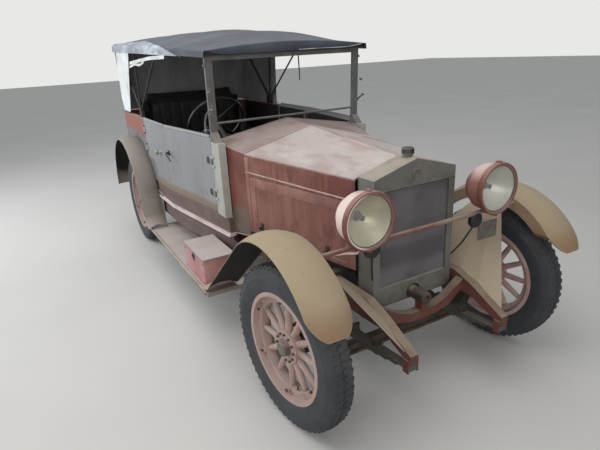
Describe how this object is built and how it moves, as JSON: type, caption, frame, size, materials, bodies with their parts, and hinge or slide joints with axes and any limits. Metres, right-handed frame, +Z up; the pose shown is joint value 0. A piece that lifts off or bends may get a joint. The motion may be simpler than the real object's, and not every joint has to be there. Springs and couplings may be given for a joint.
{
  "type": "1920s touring car",
  "caption": "Open four-door touring car with a raised cloth hood, spoked wheels, peaked radiator, drum lamps and long running boards.",
  "frame": {"origin": "on the ground, under the middle of the car's length and width", "axes": "+Z up, +X to the car's left, the front faces -Y"},
  "size_m": [1.63, 4.0628, 1.8498],
  "materials": {
    "chassis_paint": "dull red, dusty",
    "underside_iron": "dirty black",
    "spring_steel": "dusty grey",
    "engine_iron": "oily",
    "dull_nickel": "dull, dusty plating",
    "radiator_honeycomb": "grey honeycomb",
    "lamp_paint": "faded red",
    "lamp_glass": "clear, dusty",
    "dusty_red_paint": "dust over red",
    "red_primer": "matt red",
    "pale_undercoat": "pale grey-green",
    "mauve_primer": "mauve-brown, dusty",
    "rear_primer": "bare metal and red primer",
    "bare_aluminium": "bare, worn",
    "screen_metal": "grey-green, worn",
    "hood_cloth": "blue-grey rubberised cloth",
    "bow_wood": "dark stained",
    "seat_leather": "black, dull",
    "wheel_ebonite": "black hard rubber",
    "fender_undercoat": "beige dust over pink undercoat",
    "board_dust": "beige dust",
    "wheel_paint": "dusty pink",
    "tyre_rubber": "grey worn rubber"
  },
  "bodies": {
    "root": {"frame_rails": "chassis_paint", "front_crossmember": "chassis_paint", "crossmembers": "chassis_paint", "rear_crossmember": "chassis_paint", "front_axle_beam": "underside_iron", "rear_axle": "underside_iron", "front_springs": "spring_steel", "rear_springs": "spring_steel", "engine_and_gearbox": "engine_iron", "radiator_shell": "dull_nickel", "radiator_core": "radiator_honeycomb", "headlamps": "lamp_paint", "headlamp_glasses": "lamp_glass", "lamp_bar": "red_primer", "scuttle": "dusty_red_paint", "front_pillars": "pale_undercoat", "body_tub": "mauve_primer", "rear_body": "rear_primer", "windscreen_frame": "screen_metal", "hood_canvas": "hood_cloth", "hood_bows": "bow_wood", "hood_irons": "underside_iron", "front_seat": "seat_leather", "rear_seat": "seat_leather", "steering_column": "underside_iron", "front_fenders": "fender_undercoat", "rear_fenders": "fender_undercoat", "running_boards": "board_dust", "toolbox": "red_primer", "fuel_tank": "underside_iron", "spare_wheel": "wheel_paint", "spare_tyre": "tyre_rubber"},
    "steering_wheel": {"steering_wheel": "wheel_ebonite"},
    "track_rod": {"track_rod": "underside_iron"},
    "toolbox_lid": {"toolbox_lid": "board_dust"},
    "knuckle_left": {"knuckle_left": "underside_iron"},
    "front_wheel_left": {"front_wheel_left": "wheel_paint", "front_tyre_left": "tyre_rubber"},
    "rear_wheel_left": {"rear_wheel_left": "wheel_paint", "rear_tyre_left": "tyre_rubber"},
    "bonnet_left": {"bonnet_top_left": "dusty_red_paint", "bonnet_side_left": "red_primer"},
    "front_door_left": {"front_door_left": "bare_aluminium"},
    "rear_door_left": {"rear_door_left": "bare_aluminium"},
    "knuckle_right": {"knuckle_right": "underside_iron"},
    "front_wheel_right": {"front_wheel_right": "wheel_paint", "front_tyre_right": "tyre_rubber"},
    "rear_wheel_right": {"rear_wheel_right": "wheel_paint", "rear_tyre_right": "tyre_rubber"},
    "bonnet_right": {"bonnet_top_right": "dusty_red_paint", "bonnet_side_right": "red_primer"},
    "front_door_right": {"front_door_right": "bare_aluminium"},
    "rear_door_right": {"rear_door_right": "bare_aluminium"}
  },
  "joints": [
    {"name": "steer_left", "type": "hinge", "parent": "root", "child": "knuckle_left", "pos_m": [0.5805, -1.58849, 0.396], "axis": [0, 0, 1], "range_deg": [-36, 24]},
    {"name": "steer_right", "type": "hinge", "parent": "root", "child": "knuckle_right", "pos_m": [-0.5805, -1.58849, 0.396], "axis": [0, 0, 1], "range_deg": [-36, 24]},
    {"name": "track_rod_pivot", "type": "hinge", "parent": "knuckle_left", "child": "track_rod", "pos_m": [0.56221, -1.41445, 0.356], "axis": [0, 0, 1], "range_deg": [-24, 36]},
    {"name": "steering_wheel_turn", "type": "hinge", "parent": "root", "child": "steering_wheel", "pos_m": [-0.33, 0.05151, 1.212], "axis": [-0.0295, 0.8262, 0.5626], "range_deg": [-432, 288]},
    {"name": "front_wheel_left_spin", "type": "hinge", "parent": "knuckle_left", "child": "front_wheel_left", "pos_m": [0.67498, -1.57856, 0.396], "axis": [0.9945, 0.1045, 0], "continuous": true},
    {"name": "rear_wheel_left_spin", "type": "hinge", "parent": "root", "child": "rear_wheel_left", "pos_m": [0.6755, 1.33151, 0.396], "axis": [1, 0, 0], "continuous": true},
    {"name": "front_door_left_hinge", "type": "hinge", "parent": "root", "child": "front_door_left", "pos_m": [0.554, -0.40949, 0.938], "axis": [0, 0, -1], "range_deg": [0, 70]},
    {"name": "rear_door_left_hinge", "type": "hinge", "parent": "root", "child": "rear_door_left", "pos_m": [0.664, 0.92101, 1.023], "axis": [0, 0, 1], "range_deg": [0, 70]},
    {"name": "bonnet_left_hinge", "type": "hinge", "parent": "root", "child": "bonnet_left", "pos_m": [0, -1.11949, 1.1915], "axis": [0, -0.9977, -0.0676], "range_deg": [0, 60]},
    {"name": "front_wheel_right_spin", "type": "hinge", "parent": "knuckle_right", "child": "front_wheel_right", "pos_m": [-0.67498, -1.59842, 0.396], "axis": [0.9945, 0.1045, 0], "continuous": true},
    {"name": "rear_wheel_right_spin", "type": "hinge", "parent": "root", "child": "rear_wheel_right", "pos_m": [-0.6755, 1.33151, 0.396], "axis": [1, 0, 0], "continuous": true},
    {"name": "front_door_right_hinge", "type": "hinge", "parent": "root", "child": "front_door_right", "pos_m": [-0.554, -0.40949, 0.938], "axis": [0, 0, 1], "range_deg": [0, 70]},
    {"name": "rear_door_right_hinge", "type": "hinge", "parent": "root", "child": "rear_door_right", "pos_m": [-0.664, 0.92101, 1.023], "axis": [0, 0, -1], "range_deg": [0, 70]},
    {"name": "bonnet_right_hinge", "type": "hinge", "parent": "root", "child": "bonnet_right", "pos_m": [0, -1.11949, 1.1915], "axis": [0, 0.9977, 0.0676], "range_deg": [0, 60]},
    {"name": "toolbox_lid_hinge", "type": "hinge", "parent": "root", "child": "toolbox_lid", "pos_m": [-0.56, -0.48249, 0.493], "axis": [0, 1, 0], "range_deg": [0, 60]}
  ],
  "couplings": [
    {"joint": "steer_right", "follows": "steer_left", "ratio": 1},
    {"joint": "track_rod_pivot", "follows": "steer_left", "ratio": -1},
    {"joint": "steering_wheel_turn", "follows": "steer_left", "ratio": 12}
  ]
}
